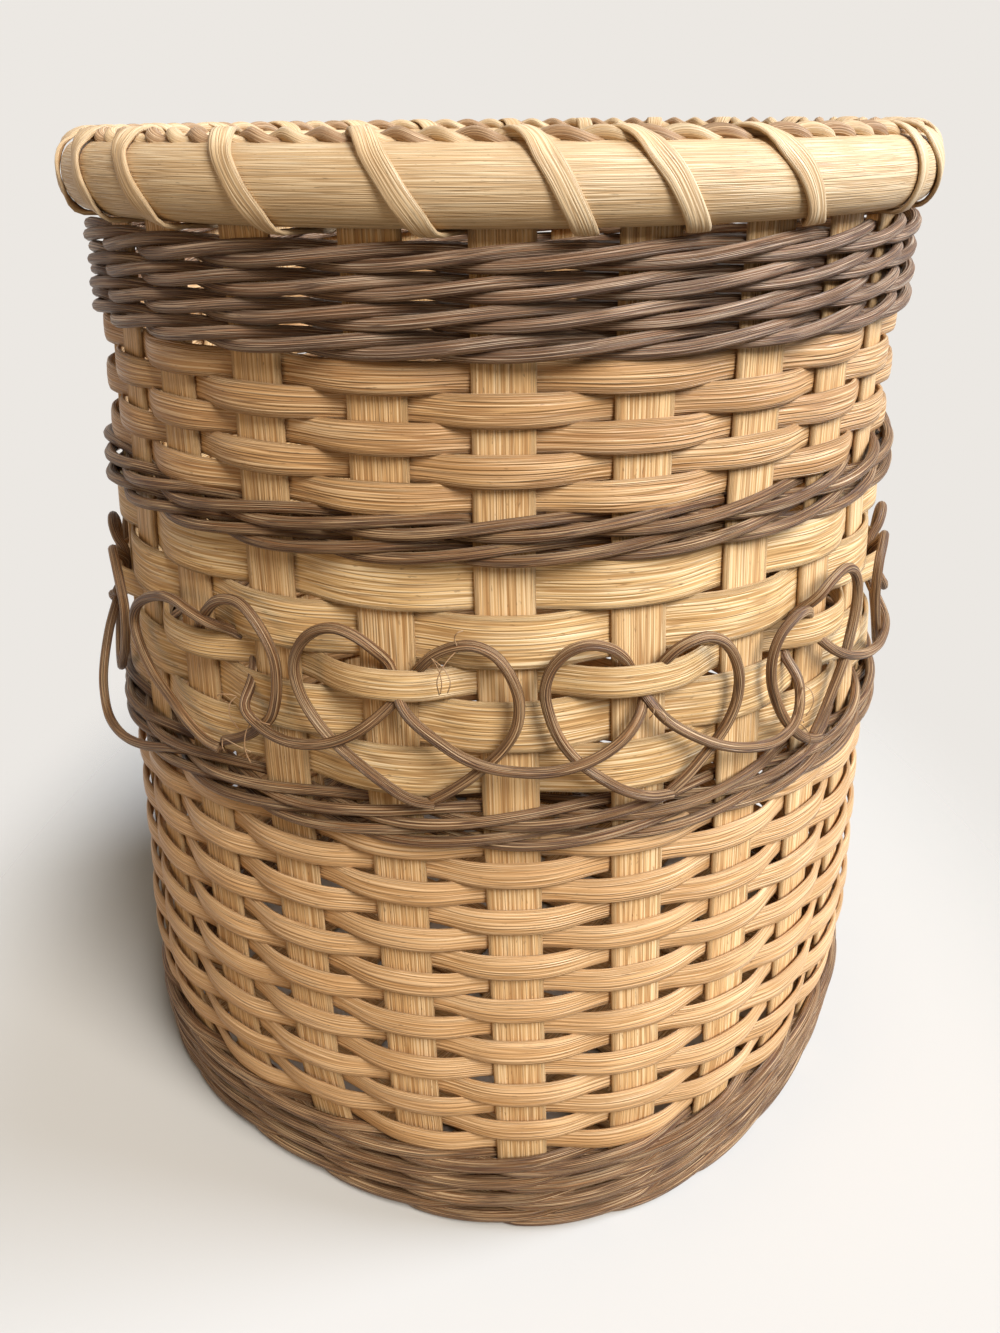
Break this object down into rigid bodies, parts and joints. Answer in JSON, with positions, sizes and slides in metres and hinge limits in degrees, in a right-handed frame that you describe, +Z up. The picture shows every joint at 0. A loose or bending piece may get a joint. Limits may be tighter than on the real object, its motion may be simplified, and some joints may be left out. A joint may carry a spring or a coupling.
{
  "type": "woven basket",
  "caption": "Tall round waste basket of flat stakes and woven reed weavers, with dyed waled bands, a band of reed-curl hearts and a lashed rim.",
  "frame": {"origin": "middle of the base, on the surface that the basket stands on", "axes": "+Z up, out of the open top; +X and +Y run along the two sets of strips that cross in the base"},
  "size_m": [0.2942, 0.2942, 0.3546],
  "materials": {
    "tan_reed": "satin",
    "pale_reed": "satin",
    "brown_reed": "satin"
  },
  "bodies": {
    "root": {"stake_strip_x1": "tan_reed", "stake_strip_x2": "tan_reed", "stake_strip_x3": "tan_reed", "stake_strip_x4": "tan_reed", "stake_strip_x5": "tan_reed", "stake_strip_x6": "tan_reed", "stake_strip_y1": "tan_reed", "stake_strip_y2": "tan_reed", "stake_strip_y3": "tan_reed", "stake_strip_y4": "tan_reed", "stake_strip_y5": "tan_reed", "stake_strip_y6": "tan_reed", "lower_weaver_01": "tan_reed", "lower_weaver_02": "tan_reed", "lower_weaver_03": "tan_reed", "lower_weaver_04": "tan_reed", "lower_weaver_05": "tan_reed", "lower_weaver_06": "tan_reed", "lower_weaver_07": "tan_reed", "lower_weaver_08": "tan_reed", "lower_weaver_09": "tan_reed", "lower_weaver_10": "tan_reed", "lower_weaver_11": "tan_reed", "lower_weaver_12": "tan_reed", "lower_weaver_13": "tan_reed", "lower_weaver_14": "tan_reed", "lower_weaver_15": "tan_reed", "wide_weaver_1": "pale_reed", "wide_weaver_2": "pale_reed", "wide_weaver_3": "pale_reed", "wide_weaver_4": "pale_reed", "narrow_weaver": "pale_reed", "upper_weaver_1": "tan_reed", "upper_weaver_2": "tan_reed", "upper_weaver_3": "tan_reed", "upper_weaver_4": "tan_reed", "upper_weaver_5": "tan_reed", "wale_bottom": "brown_reed", "wale_lower": "brown_reed", "wale_middle": "brown_reed", "wale_top": "brown_reed", "heart_curl_01": "brown_reed", "heart_curl_02": "brown_reed", "heart_curl_03": "brown_reed", "heart_curl_04": "brown_reed", "heart_curl_05": "brown_reed", "heart_curl_06": "brown_reed", "heart_curl_07": "brown_reed", "heart_curl_08": "brown_reed", "heart_curl_09": "brown_reed", "heart_curl_10": "brown_reed", "heart_curl_11": "brown_reed", "heart_curl_12": "brown_reed", "rim_band_outer": "pale_reed", "rim_band_inner": "pale_reed", "rim_filler": "pale_reed", "rim_lashing": "pale_reed"}
  },
  "joints": []
}
